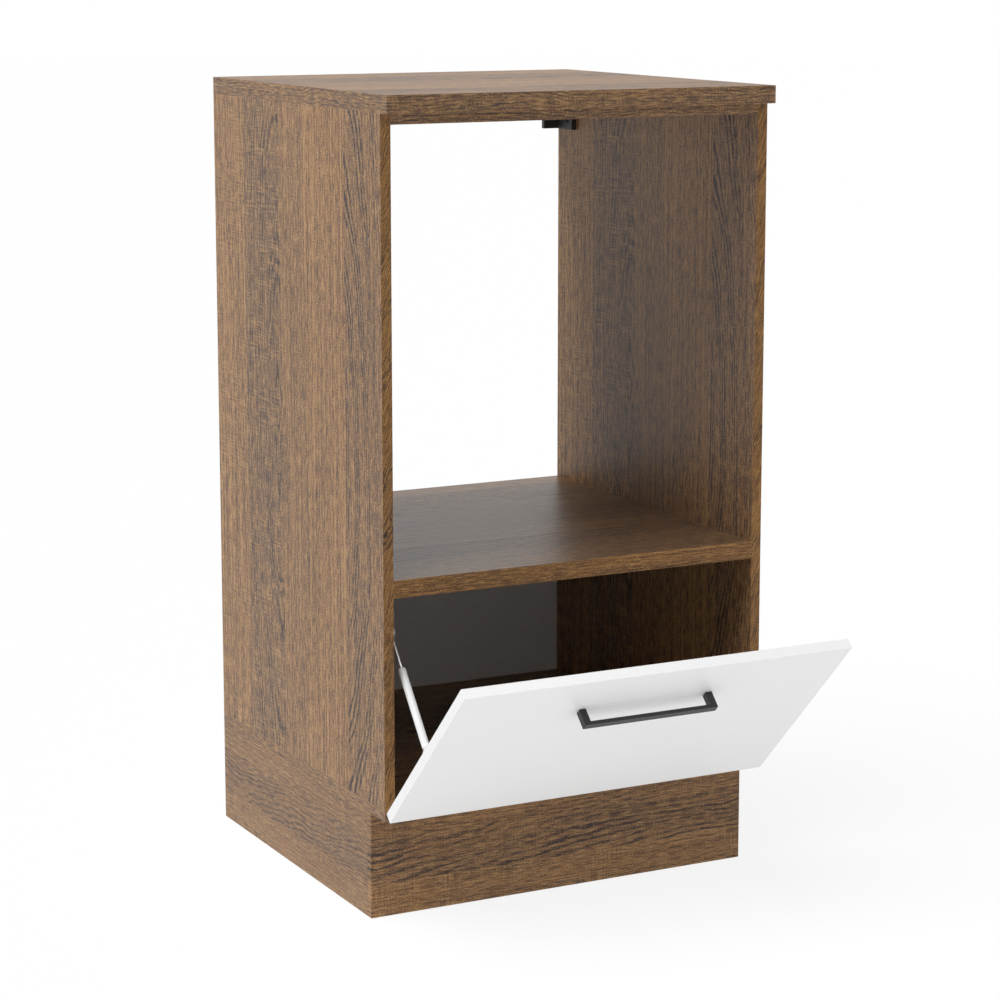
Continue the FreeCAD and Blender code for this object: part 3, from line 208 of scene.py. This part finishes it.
class Oak(Look):
    """Oak decor: u runs across the grain from the first plank's edge, and v along the grain."""

    def __init__(self, name, along, across, start, planks, seed, fine):
        super().__init__(name)
        self.seed = seed
        self.fine = fine
        self.v = self.along(along)
        self.u = self.add(self.along(across), start)
        ramp = self.node("ShaderNodeValToRGB", {"Fac": self.u})
        ramp.color_ramp.interpolation = "CONSTANT"
        stops = ramp.color_ramp.elements
        while len(stops) < len(planks):
            stops.new(0.99)
        for stop, (edge, *traits) in zip(stops, planks):
            stop.position = edge
            stop.color = traits
        parts = self.node("ShaderNodeSeparateColor", {"Color": ramp.outputs[0]}).outputs
        self.middle, self.pale, self.arch = parts[:3]
        self.sawn_share = ramp.outputs["Alpha"]
        self.plank = self.add(self.times(self.middle, 17.0), seed)

    def mark(self, kind):
        across, along, detail, rough, seed = MARKS[kind]
        across *= self.fine if kind in FINER else 1.0
        place = self.add(self.plank, seed) if kind in BY_PLANK else self.seed + seed
        return self.noise(self.times(self.u, across), self.times(self.v, along), place, detail, rough)

    def draw_marks(self, saw):
        """Fibres, pores and specks, slate patches, and the crossed marks of the saw."""
        self.fibre = self.mark("fibre")
        self.pore = self.mark("pore")
        self.grit = self.add(self.times(self.pore, 0.5), self.times(self.mark("speck"), 0.5))
        self.slate = self.times(self.ease(self.mark("slate"), 0.42, 0.60),
                                self.ease(self.pale, 0.2, 0.85, 1.0, 0.10))
        self.weave = self.add(self.mark("saw_cut"), self.mark("saw_weft"))
        patches = self.ease(self.mark("saw_patch"), 0.46, 0.54, 0.15, 1.0)
        self.sawn = self.times(self.times(patches, self.sawn_share), saw)

    def draw_rings(self, ring, clump, slope, turn, wander, ripple):
        """Growth rings about each plank's middle, in ragged dashes. They turn round at one place
        along the board, so they close into half arches above and below it."""
        stray = self.noise(self.times(self.u, 2.0 * ripple), self.times(self.v, ripple), self.plank, 3.0)
        stray = self.times(self.less(stray, 0.5), 2.0 * wander)
        off = self.less(self.add(self.u, stray), self.middle)
        sway = self.times(self.less(self.noise(self.times(self.v, 4.5), self.plank, 2.5), 0.5), 0.05)
        sink = self.add(self.times(self.less(self.v, turn), self.times(self.arch, slope)), sway)
        depth = self.calc("SQRT", self.add(self.times(off, off), self.times(sink, sink)))
        turns = self.add(self.calc("DIVIDE", depth, ring), self.times(self.mark("fuzz"), 0.65))
        line = self.ease(self.calc("SINE", self.times(turns, math.tau)), -0.1, 0.8)
        bunch = self.calc("SINE", self.times(turns, math.tau / 5.0))
        bunch = self.ease(bunch, -0.6, 0.7, 1.0 - clump, 1.0)
        gaps = self.noise(self.times(turns, 0.3), self.times(self.v, 6.0), self.add(self.plank, 9.0), 1.0)
        shares = [self.ease(gaps, 0.34, 0.46, 0.35, 1.0),
                  self.ease(self.calc("ABSOLUTE", off), 0.07, 0.15, 1.0, 0.45),
                  self.ease(self.arch, 0.0, 1.0, 0.10, 1.0)]
        self.rings = self.times(line, bunch)
        for share in shares:
            self.rings = self.times(self.rings, share)
        self.rings = self.calc("MULTIPLY", self.rings, self.ease(self.grit, 0.60, 0.44, 0.5, 1.7),
                               use_clamp=True)

    def coloured(self, contrast, tone, tint):
        """The decor's colour, laid on in layers."""
        layers = [
            (self.ease(self.fibre, 0.42, 0.58), OAK_PALE),
            (self.times(self.ease(self.fibre, 0.43, 0.35), 0.50), OAK_LINE),
            (self.times(self.ease(self.fibre, 0.57, 0.65), 0.50), OAK_LIGHT),
            (self.ease(self.pale, 0.2, 0.9, 0.45, 0.0), OAK_SLATE),
            (self.times(self.slate, 0.50), OAK_SLATE),
            (self.times(self.ease(self.grit, 0.48, 0.42), min(1.0, 0.55 * contrast)), OAK_LINE),
            (self.times(self.ease(self.grit, 0.51, 0.58), 0.55), OAK_LIGHT),
            (self.times(self.rings, min(1.0, 0.90 * contrast)), OAK_LINE),
            (self.times(self.ease(self.weave, 1.04, 1.18), self.times(self.sawn, 0.50)), OAK_LIGHT),
            (self.times(self.ease(self.weave, 0.96, 0.84), self.times(self.sawn, 0.55)), OAK_LINE),
        ]
        colour = OAK_BROWN
        for share, paint in layers:
            colour = self.blend(share, colour, paint)
        # The tone multiplies the whole colour; on some boards it is painted shade or painted light.
        shade = self.grey(self.add(self.times(self.mark("tone"), 0.40 * tone), 0.86 * tone))
        colour = self.blend(1.0, colour, shade, "MULTIPLY")
        return self.blend(1.0, colour, tint, "MULTIPLY") if tint else colour

    def relief(self):
        pores = self.add(self.times(self.pore, 0.6), self.times(self.less(1.0, self.rings), 0.5))
        return self.add(pores, self.times(self.times(self.weave, self.sawn), 0.4))

    def chips(self):
        """The pressed chips of a board's cut edge, as a colour and a height."""
        cells = self.node("ShaderNodeTexVoronoi", {"Vector": self.point, "Scale": 420.0})
        shade = self.node("ShaderNodeSeparateColor", {"Color": cells.outputs["Color"]}).outputs[0]
        fine = self.grain(900.0, 3.0)
        share = self.ease(self.add(self.times(shade, 0.6), self.times(fine, 0.5)), 0.2, 0.9)
        return self.blend(share, CHIP_DARK, CHIP_PALE), self.add(self.times(shade, 0.5), fine)


def oak(name, along, across, start=0.0, planks=PLANKS, seed=0.0, fine=1.0,
        ring=0.010, clump=0.4, slope=0.12, turn=0.52, wander=0.03, ripple=2.6,
        contrast=1.0, saw=1.0, tone=1.0, tint=None, roughness=0.42, specular=0.3, decor=None):
    """Oak decor with its grain along a direction.

    fine makes the marks finer, contrast darkens the dark ones, saw is how strong the marks of the
    saw are, and tone and tint go over the whole. A tone away from 1 on the worktop, the shelf and
    the plinth's front and rear boards is painted shade or painted light. ring is the rings'
    spacing, clump how much they gather, slope how fast the half arches close about the place
    turn, and wander and ripple how far and how often the rings stray. decor is the direction that
    printed faces look, and the other faces show chips.
    """
    n = Oak(name, along, across, start, planks, seed, fine)
    n.draw_marks(saw)
    n.draw_rings(ring, clump, slope, turn, wander, ripple)
    colour = n.coloured(contrast, tone, tint)
    height = n.relief()
    gloss = n.add(n.add(n.times(n.grit, 0.10), roughness - 0.05), n.times(n.rings, 0.06))
    if decor:
        printed = n.faces(decor)
        chip_colour, chip_height = n.chips()
        chip_gloss = 0.9
        colour = n.blend(printed, chip_colour, colour)
        gloss = n.add(n.times(printed, n.less(gloss, chip_gloss)), chip_gloss)
        height = n.add(n.times(printed, n.less(height, chip_height)), chip_height)
    return n.done(colour, gloss, height, OAK_BUMP, Specular_IOR_Level=specular)


# How far the carcass reaches behind the origin, and a direction along every band of a board
REAR = 0.5345
AROUND = (1, 1, 0)

side_oak = oak("oak_side", UPWARD, (0, -1, 0), REAR, ring=0.0066, clump=0.8, slope=0.26, turn=0.64,
               wander=0.02, contrast=1.1, decor=SIDEWAYS)
# The worktop's tone of 0.68 is painted shade: its top is darkened against the light that falls on it from
# above.
top_oak = oak("oak_worktop", SIDEWAYS, (0, -1, 0), REAR, seed=11.0, turn=0.9, tone=0.68,
              roughness=0.5, specular=0.45, decor=UPWARD)
# The shelf's tone of 0.68 is painted shade, for the shade inside the open niche.
shelf_oak = oak("oak_shelf", SIDEWAYS, (0, -1, 0), 0.60, seed=23.0, turn=-0.4, tone=0.68,
                roughness=0.36, specular=0.34, decor=UPWARD)
base_oak = oak("oak_base", SIDEWAYS, (0, -1, 0), REAR, seed=31.0, turn=0.2, decor=UPWARD)
rail_oak = oak("oak_rail", SIDEWAYS, BACKWARD, 0.06, seed=37.0, decor=UPWARD)
# The plinth's tone of 1.18 is painted light, brightening its front and rear boards against the shade under
# the door.
plinth_front_oak = oak("oak_plinth_front", SIDEWAYS, UPWARD, 0.02, PLINTH, seed=41.0, fine=2.4,
                       ring=0.008, turn=0.5, ripple=5.0, tone=1.18, specular=0.2)
plinth_side_oak = oak("oak_plinth_side", BACKWARD, UPWARD, 0.02, PLINTH, seed=47.0, fine=2.6,
                      ring=0.006, turn=-0.3, ripple=6.0, contrast=0.7, decor=SIDEWAYS)
worktop_band = oak("oak_worktop_band", AROUND, UPWARD, -1.10, WAVY, seed=53.0, fine=1.8,
                   ring=0.0048, wander=0.022, ripple=7.0, contrast=1.1, tone=1.02)
base_band = oak("oak_base_band", AROUND, UPWARD, -0.12, WAVY, seed=59.0, fine=1.8, ring=0.005,
                ripple=7.0)
side_band = oak("oak_side_band", (0.4, 0, 1), (1, 0, -0.4), 1.4, WAVY, seed=61.0, fine=3.0,
                ring=0.0060, clump=0.9, wander=0.022, ripple=16.0, contrast=1.1, saw=0.0,
                tone=1.10, tint=GOLDEN, specular=0.2)
shelf_band = oak("oak_shelf_band", SIDEWAYS, UPWARD, -0.45, WAVY, seed=67.0, fine=2.6,
                 ring=0.0060, wander=0.012, ripple=6.0, contrast=0.8, saw=0.0, tone=1.1,
                 tint=GOLDEN, specular=0.2)


# The other materials

def laminate(name, colour):
    """Smooth melamine or plastic edging: faint mottling, a few hairlines, light orange peel."""
    n = Look(name)
    mottle = n.grain(9.0, 3.0)
    peel = n.grain(420.0)
    hair = n.noise(n.times(n.along(SIDEWAYS), 3.0), n.times(n.along((0.3, 0.8, -0.8)), 900.0), 5.0, 1.0)
    shade = n.grey(n.add(n.times(mottle, 0.03), 0.985))
    tinted = n.blend(1.0, colour, shade, "MULTIPLY")
    gloss = n.add(n.times(mottle, 0.10), n.add(n.times(n.ease(hair, 0.66, 0.74), 0.12), 0.32))
    return n.done(tinted, gloss, peel, 0.00003)


def hardboard(name, pale, dark, side):
    """Thin fibre board, lacquered on its two large faces and bare on its sides."""
    n = Look(name)
    fibres = n.noise(n.times(n.along(SIDEWAYS), 300.0), n.times(n.along(UPWARD), 120.0), 2.0, 3.0)
    cloud = n.grain(7.0, 3.0)
    share = n.ease(n.add(n.times(fibres, 0.6), n.times(cloud, 0.4)), 0.3, 0.7)
    colour = n.blend(n.faces(BACKWARD), side, n.blend(share, dark, pale))
    return n.done(colour, n.add(n.times(cloud, 0.2), 0.36), fibres, 0.00004)


def painted(name, colour, worn, roughness, size):
    """Powder coat or moulded plastic: fine orange peel, dusty patches, brighter rubbed spots."""
    n = Look(name)
    peel = n.grain(size, 3.0, 0.6)
    dust = n.grain(35.0, 4.0, 0.6)
    rubbed = n.ease(n.grain(160.0, 4.0, 0.7), 0.58, 0.72)
    dusty = n.blend(n.ease(dust, 0.35, 0.7, 0.0, 0.25), colour, worn)
    tinted = n.blend(n.times(rubbed, 0.35), dusty, worn)
    gloss = n.add(n.times(dust, 0.16), roughness - 0.08)
    return n.done(tinted, gloss, peel, 0.00005)


def metal(name, colour, dull, roughness, direction=None):
    """Bare or plated metal: drawn lines along a direction, or cast grain, with duller patches."""
    n = Look(name)
    if direction:
        fine = n.noise(n.times(n.along(direction), 60.0), n.times(n.along((0.6, 0.5, 0.6)), 1500.0), 1.0)
    else:
        fine = n.grain(700.0, 3.0, 0.6)
    patch = n.grain(60.0, 3.0, 0.6)
    tinted = n.blend(n.ease(patch, 0.35, 0.70, 0.0, 0.7), colour, dull)
    tinted = n.blend(n.ease(fine, 0.4, 0.7, 0.0, 0.3), tinted, dull)
    gloss = n.add(n.times(fine, 0.15), n.add(n.times(patch, 0.2), roughness - 0.15))
    return n.done(tinted, gloss, fine, 0.00003, Metallic=1.0)


def timber(name, colour, dark, direction):
    """Plain wood with fine straight fibres."""
    n = Look(name)
    fibre = n.noise(n.times(n.along(direction), 20.0), n.times(n.along((0.7, 0.8, 0.6)), 500.0), 3.0, 3.0)
    ring = n.noise(n.times(n.along(direction), 3.0), n.times(n.along((0.4, 0.9, 0.7)), 90.0), 7.0)
    share = n.ease(n.add(n.times(fibre, 0.6), n.times(ring, 0.4)), 0.35, 0.65)
    return n.done(n.blend(share, dark, colour), 0.7, fibre, 0.00008)


white_laminate = laminate("white_laminate", (0.92, 0.92, 0.92))
white_edge = laminate("white_edge", (0.90, 0.90, 0.90))
grey_hardboard = hardboard("lacquered_hardboard", (0.64, 0.63, 0.62), (0.56, 0.55, 0.545),
                           (0.30, 0.20, 0.12))
black_paint = painted("black_paint", (0.010, 0.011, 0.011), (0.026, 0.028, 0.027), 0.40, 700.0)
black_plastic = painted("black_plastic", (0.014, 0.014, 0.014), (0.035, 0.035, 0.035), 0.50, 500.0)
strut_white = painted("strut_white", (0.88, 0.88, 0.88), (0.80, 0.80, 0.80), 0.35, 600.0)
strut_plastic = painted("strut_plastic", (0.72, 0.72, 0.72), (0.62, 0.62, 0.62), 0.45, 500.0)
guide_plastic = painted("guide_plastic", (0.03, 0.03, 0.03), (0.06, 0.06, 0.06), 0.45, 500.0)
soft_pad = painted("soft_pad", (0.60, 0.60, 0.58), (0.50, 0.50, 0.48), 0.60, 300.0)
hinge_steel = metal("hinge_steel", (0.66, 0.65, 0.63), (0.45, 0.44, 0.43), 0.35, SIDEWAYS)
screw_steel = metal("screw_steel", (0.60, 0.59, 0.56), (0.36, 0.35, 0.33), 0.40)
screw_black = metal("blackened_screw", (0.06, 0.06, 0.06), (0.03, 0.03, 0.03), 0.50)
fitting_steel = metal("strut_fitting_steel", (0.62, 0.62, 0.62), (0.42, 0.42, 0.42), 0.38)
rod_finish = metal("strut_rod_finish", (0.84, 0.84, 0.85), (0.72, 0.72, 0.73), 0.35, STRUT_UP)
zinc_cast = metal("zinc_cast", (0.55, 0.55, 0.56), (0.34, 0.34, 0.35), 0.50)
beech = timber("beech", (0.62, 0.42, 0.25), (0.46, 0.29, 0.16), SIDEWAYS)
raw_wood = timber("raw_wood", (0.60, 0.44, 0.27), (0.42, 0.28, 0.15), UPWARD)

LOOKS = {
    side_oak: ["side_panel_left", "side_panel_right"],
    top_oak: ["worktop"],
    shelf_oak: ["oven_shelf"],
    base_oak: ["base_panel"],
    rail_oak: ["top_rail_front", "top_rail_rear"],
    plinth_front_oak: ["plinth_front", "plinth_rear"],
    plinth_side_oak: ["plinth_left", "plinth_right"],
    worktop_band: ["worktop_edge_bands", "top_rail_edge_bands"],
    base_band: ["base_panel_edge_bands"],
    side_band: ["side_panel_edge_bands"],
    shelf_band: ["oven_shelf_edge_band"],
    white_laminate: ["door_panel"],
    white_edge: ["door_edge_bands"],
    grey_hardboard: ["back_panel"],
    black_paint: ["handle"],
    black_plastic: ["rear_bracket_left", "rear_bracket_right"],
    raw_wood: ["plinth_corner_blocks"],
    beech: ["dowels"],
    zinc_cast: ["cam_locks"],
    screw_steel: ["back_panel_nails", "cam_bolts", "handle_screws", "hinge_clamp_screws",
                  "hinge_cup_screws", "hinge_plate_screws", "joining_screws", "plinth_block_screws",
                  "rear_bracket_screws", "strut_door_screws", "strut_side_screws", "worktop_screws"],
    hinge_steel: ["hinge_arm_left", "hinge_arm_right", "hinge_cup_left", "hinge_cup_right",
                  "hinge_pin_left", "hinge_pin_right", "hinge_plate_left", "hinge_plate_right"],
    fitting_steel: ["strut_door_bracket", "strut_door_stud", "strut_side_ball_stud", "strut_side_plate"],
    strut_white: ["strut_tube"],
    rod_finish: ["strut_rod"],
    strut_plastic: ["strut_upper_socket", "strut_lower_socket"],
    guide_plastic: ["strut_rod_guide", "strut_piston"],
    soft_pad: ["door_bumpers"],
}
for material, nodes in LOOKS.items():
    for name in nodes:
        CAD[name].data.materials.clear()
        CAD[name].data.materials.append(material)


# Boards and stamped or moulded pieces lose the razor sharpness of their edges, by this width.

EASED = {
    0.2: ["door_panel", "back_panel"],
    0.3: ["side_panel_left", "side_panel_right", "worktop", "oven_shelf", "base_panel",
          "top_rail_front", "top_rail_rear", "hinge_arm_left", "hinge_arm_right", "hinge_plate_left",
          "hinge_plate_right", "strut_door_bracket", "strut_side_plate"],
    0.4: ["plinth_front", "plinth_rear", "plinth_left", "plinth_right"],
    0.6: ["plinth_corner_blocks"],
    0.8: ["rear_bracket_left", "rear_bracket_right"],
}


def ease_edges(node, width):
    weld = node.modifiers.new("joined", "WELD")
    weld.merge_threshold = JOINED
    edges = node.modifiers.new("edges", "BEVEL")
    edges.width = width * MM
    edges.segments = 2
    edges.limit_method = "ANGLE"
    edges.angle_limit = math.radians(40.0)
    node.modifiers.new("flat_faces", "WEIGHTED_NORMAL")


for width, nodes in EASED.items():
    for name in nodes:
        ease_edges(CAD[name], width)


# Turned pieces. Each takes the place of a CAD node and sits where that node's solids are. A
# profile is a list of (radius, distance from the head).

def solids(name):
    """The corners of each separate solid in a CAD node."""
    mesh = bmesh.new()
    mesh.from_mesh(CAD[name].data)
    bmesh.ops.remove_doubles(mesh, verts=mesh.verts, dist=JOINED)
    left, found = set(mesh.verts), []
    while left:
        todo, solid = [left.pop()], []
        while todo:
            vertex = todo.pop()
            solid.append(vertex.co.copy())
            near = {edge.other_vert(vertex) for edge in vertex.link_edges} & left
            left -= near
            todo.extend(near)
        found.append(np.array(solid))
    mesh.free()
    return sorted(found, key=lambda points: tuple(points.mean(axis=0).round(4)))


def length_along(points, way):
    reach = points @ np.array(way)
    return (reach.max() - reach.min()) / MM


def head_and_way(points, axis=None):
    """Where a round solid's widest end is, and the direction from there to its other end."""
    if axis is None:
        axis = np.linalg.eigh(np.cov((points - points.mean(axis=0)).T))[1][:, -1]
    axis = np.array(axis)
    far = points @ axis
    across = points - np.outer(far, axis)
    centre = (across.min(axis=0) + across.max(axis=0)) / 2
    centre -= axis * (centre @ axis)
    wide = [np.linalg.norm(across[abs(far - end) < 0.2 * MM] - centre, axis=1).max()
            for end in (far.min(), far.max())]
    if wide[0] >= wide[1] - JOINED:
        return Vector(centre + axis * far.min()), Vector(axis)
    return Vector(centre + axis * far.max()), Vector(-axis)


def cross_recess(width, reach, depth):
    """How far a point of a head is pushed in by a cross-shaped recess."""
    def pushed(x, y):
        near, far = sorted((abs(x), abs(y)))
        inside = near < width / 2 and far < reach
        return depth * (1 - 0.45 * far / reach) if inside else 0.0
    return pushed


def turned_mesh(name, spots, profile, recess, segments):
    """One profile turned about each spot's axis. Only the head's face takes the recess."""
    verts, faces = [], []
    for head, way in spots:
        side = way.orthogonal().normalized()
        other = way.cross(side)
        rings = []
        for radius, distance in profile:
            ring = []
            for k in range(segments if radius else 1):
                x, y = (radius * f(math.tau * k / segments) for f in (math.cos, math.sin))
                deep = distance + (recess(x, y) if recess and distance < 1.0 else 0.0)
                ring.append(len(verts))
                verts.append(head + (side * x + other * y + way * deep) * MM)
            rings.append(ring)
        for a, b in zip(rings, rings[1:]):
            for k in range(segments):
                after = k + 1
                quad = [a[k % len(a)], a[after % len(a)], b[after % len(b)], b[k % len(b)]]
                faces.append(list(dict.fromkeys(quad)))
    mesh = bpy.data.meshes.new(name)
    mesh.from_pydata(verts, [], faces)
    mesh.polygons.foreach_set("use_smooth", [True] * len(mesh.polygons))
    mesh.set_sharp_from_angle(angle=math.radians(35.0))
    return mesh


def turned(name, material, body, node, spots, profile, recess=None, segments=48):
    """Turned pieces in place of a CAD node, as one object on a body."""
    mesh = turned_mesh(name, spots, profile, recess, segments)
    mesh.materials.append(material)
    made = bpy.data.objects.new(name, mesh)
    scene.collection.objects.link(made)
    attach(made, body)
    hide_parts(node)


# Screws: radius and height of the head, and radius of the shank
WOOD_SCREW = (4.0, 2.2, 2.0)
JOINING_SCREW = (5.0, 3.0, 3.5)
THREAD_PITCH = 1.6
THREAD_ROOT = 0.72
RECESS_SHARES = (0.08, 0.14, 0.20, 0.26, 0.32, 0.38, 0.44, 0.50, 0.56, 0.70, 0.85)
SCREWS = {
    "cabinet": ["hinge_plate_screws", "hinge_clamp_screws", "strut_side_screws",
                "rear_bracket_screws", "worktop_screws", "plinth_block_screws", "joining_screws"],
    "door": ["hinge_cup_screws", "strut_door_screws", "handle_screws"],
}


def screw_profile(head_radius, head, radius, length):
    """A domed head, a threaded shank and a point."""
    rings = [(0.0, 0.05)]
    rings += [(head_radius * share, 0.05 + 0.25 * head * share ** 4) for share in RECESS_SHARES]
    rings += [(head_radius * 0.96, 0.45 * head), (head_radius, 0.70 * head), (head_radius, head),
              (radius * 0.85, head)]
    distance = head + 1.0
    while distance + THREAD_PITCH < length - 3.0:
        rings += [(radius * THREAD_ROOT, distance), (radius, distance + THREAD_PITCH / 2)]
        distance += THREAD_PITCH
    return rings + [(radius * THREAD_ROOT, distance), (0.2, length - 0.1), (0.0, length)]


def make_screws(name, body):
    """The screws of a node, as one object for each length among them."""
    by_length = {}
    for points in solids(name):
        head, way = head_and_way(points)
        by_length.setdefault(round(length_along(points, way), 1), []).append((head, way))
    sizes = JOINING_SCREW if name == "joining_screws" else WOOD_SCREW
    head_radius, head_height = sizes[:2]
    finish = screw_black if name == "rear_bracket_screws" else screw_steel
    recess = cross_recess(0.22 * head_radius, 0.56 * head_radius, 0.6 * head_height)
    for length, spots in sorted(by_length.items()):
        label = f"{name}_turned_{str(length).replace('.', '_')}"
        turned(label, finish, body, name, spots, screw_profile(*sizes, length), recess)


def make_nails():
    spots = [head_and_way(points, BACKWARD) for points in solids("back_panel_nails")]
    profile = [(0.0, 0.0), (1.2, 0.02), (2.1, 0.15), (2.5, 0.45), (2.4, 0.8), (0.9, 0.8),
               (0.9, 13.0), (0.0, 15.0)]
    turned("back_panel_nails_turned", screw_steel, "cabinet", "back_panel_nails",
           spots, profile)


# Cams lower than this are the shelf's, and the others are the rails'
SHELF_CAMS = 0.6


def make_cams():
    """The shelf's cams show on its underside, and those of the rails on top of them."""
    spots = []
    for points in solids("cam_locks"):
        low = points[:, 2].min() < SHELF_CAMS
        centre = (points.min(axis=0) + points.max(axis=0)) / 2
        centre[2] = points[:, 2].min() if low else points[:, 2].max()
        spots.append((Vector(centre), Vector(UPWARD if low else (0, 0, -1))))
    recessed = [(radius, 0.1) for radius in (0.0, 0.5, 0.9, 1.3, 1.7, 2.1, 2.6, 3.1, 3.6, 4.1, 5.6)]
    rim = [(6.0, 0.4), (6.6, 0.4), (6.9, 0.0), (7.3, 0.0), (7.5, 0.3), (7.5, 12.0), (0.0, 12.0)]
    turned("cam_locks_turned", zinc_cast, "cabinet", "cam_locks", spots,
           recessed + rim, cross_recess(1.4, 3.9, 2.2))


def make_pads():
    """Domed pads, whose flat side lies on the door's inner face."""
    profile = [(0.0, 0.0), (1.2, 0.05), (2.3, 0.28), (3.1, 0.75), (3.7, 1.45), (4.0, 2.2),
               (4.0, 2.6), (0.0, 2.6)]
    thickness = profile[-1][1] * MM
    spots = []
    for points in solids("door_bumpers"):
        head, way = head_and_way(points, DOOR_IN)
        if way.dot(DOOR_IN) > 0:
            head, way = head + way * thickness, -way
        spots.append((head, way))
    turned("door_bumpers_turned", soft_pad, "door", "door_bumpers", spots, profile)


def make_strut_tube():
    """A hollow tube with a rolled upper lip round the rod and a groove near its lower end."""
    points = solids("strut_tube")[0]
    middle = Vector((points.min(axis=0) + points.max(axis=0)) / 2)
    top = middle + STRUT_UP * ((points @ np.array(STRUT_UP)).max() - middle.dot(STRUT_UP))
    length = length_along(points, STRUT_UP)
    bore = [(0.0, length - 1.5), (4.3, length - 1.5), (4.3, 1.2), (2.1, 1.0), (2.1, 0.1)]
    lip = [(2.3, -0.15), (3.2, -0.3), (3.9, -0.2), (4.6, 0.2), (5.15, 1.0), (5.4, 2.0), (5.5, 3.2)]
    groove = [(5.5, length - 6.2), (5.35, length - 5.8), (5.35, length - 5.2), (5.5, length - 4.8)]
    end = [(5.5, length - 1.6), (5.3, length - 0.8), (4.8, length - 0.2), (4.2, length), (0.0, length)]
    turned("strut_tube_turned", strut_white, "gas_cylinder", "strut_tube",
           [(top, -STRUT_UP)], bore + lip + groove + end, segments=64)


for body, names in SCREWS.items():
    for name in names:
        make_screws(name, body)
make_nails()
make_cams()
make_pads()
make_strut_tube()


# Studio: a faintly glowing white floor, as bright as its lit paint, that runs into a white
# background, and soft light from the upper left.

WHITE = (1.0, 1.0, 1.0)
AMBIENT = 0.17
KEY = 3.4
KEY_WIDTH = math.radians(50.0)
KEY_WAY = (0.40, 0.03, -0.92)
FLOOR_PAINT = (0.86, 0.86, 0.86)
FLOOR_GLOW = 0.75
FLOOR_GLOW_SEEN = 0.88
FLOOR_HALF = 30.0
FLOOR_DROP = 0.3 * MM


def studio_floor():
    half = FLOOR_HALF
    mesh = bpy.data.meshes.new("floor")
    corners = [(-half, -half, 0), (half, -half, 0), (half, half, 0), (-half, half, 0)]
    mesh.from_pydata(corners, [], [(0, 1, 2, 3)])
    floor = bpy.data.objects.new("floor", mesh)
    floor.location.z = -FLOOR_DROP
    scene.collection.objects.link(floor)
    n = Look("studio_floor")
    shade = n.grey(n.add(n.times(n.grain(1.5, 3.0), 0.02), 0.98))
    paint = n.blend(1.0, FLOOR_PAINT, shade, "MULTIPLY")
    lit = n.node("ShaderNodeBsdfDiffuse", {"Color": paint, "Roughness": 0.5}).outputs[0]
    glow = n.node("ShaderNodeEmission", {"Color": WHITE, "Strength": 1.0}).outputs[0]
    share = n.add(n.times(n.seen(), FLOOR_GLOW_SEEN - FLOOR_GLOW), FLOOR_GLOW)
    mesh.materials.append(n.shown(n.mix_shaders(share, lit, glow)))


def studio_world():
    """Dim for the light it gives, white where it is seen."""
    scene.world = bpy.data.worlds.new("studio")
    n = Nodes(scene.world)
    dim, white = (n.node("ShaderNodeBackground", {"Color": WHITE, "Strength": strength}).outputs[0]
                  for strength in (AMBIENT, 1.0))
    n.node("ShaderNodeOutputWorld", {"Surface": n.mix_shaders(n.seen(), dim, white)})


def key_lamp():
    """A distant lamp, wide enough for soft shadows."""
    light = bpy.data.lights.new("key", "SUN")
    light.energy = KEY
    light.angle = KEY_WIDTH
    made = bpy.data.objects.new("key", light)
    made.rotation_mode = "QUATERNION"
    made.rotation_quaternion = Vector(KEY_WAY).to_track_quat("-Z", "Y")
    scene.collection.objects.link(made)


# Camera, fitted to the photograph

CAMERA_PLACE = (-1.8885, -3.4729, 1.3305)
CAMERA_YAW = math.radians(27.356)
CAMERA_PITCH = math.radians(9.95)
CAMERA_LENS = 102.96
CAMERA_SHIFT = (-0.0024, -0.05)


def photo_camera():
    yaw, pitch = CAMERA_YAW, CAMERA_PITCH
    forward = Vector((math.sin(yaw) * math.cos(pitch), math.cos(yaw) * math.cos(pitch), -math.sin(pitch)))
    right = Vector((math.cos(yaw), -math.sin(yaw), 0))
    up = right.cross(forward)
    lens = bpy.data.cameras.new("camera")
    lens.sensor_width = 36.0
    lens.lens = CAMERA_LENS
    lens.shift_x, lens.shift_y = CAMERA_SHIFT
    camera = bpy.data.objects.new("camera", lens)
    turn = Matrix((right, up, -forward)).transposed().to_4x4()
    camera.matrix_world = Matrix.Translation(CAMERA_PLACE) @ turn
    scene.collection.objects.link(camera)
    scene.camera = camera


studio_world()
studio_floor()
key_lamp()
photo_camera()
scene.view_settings.view_transform = "Standard"
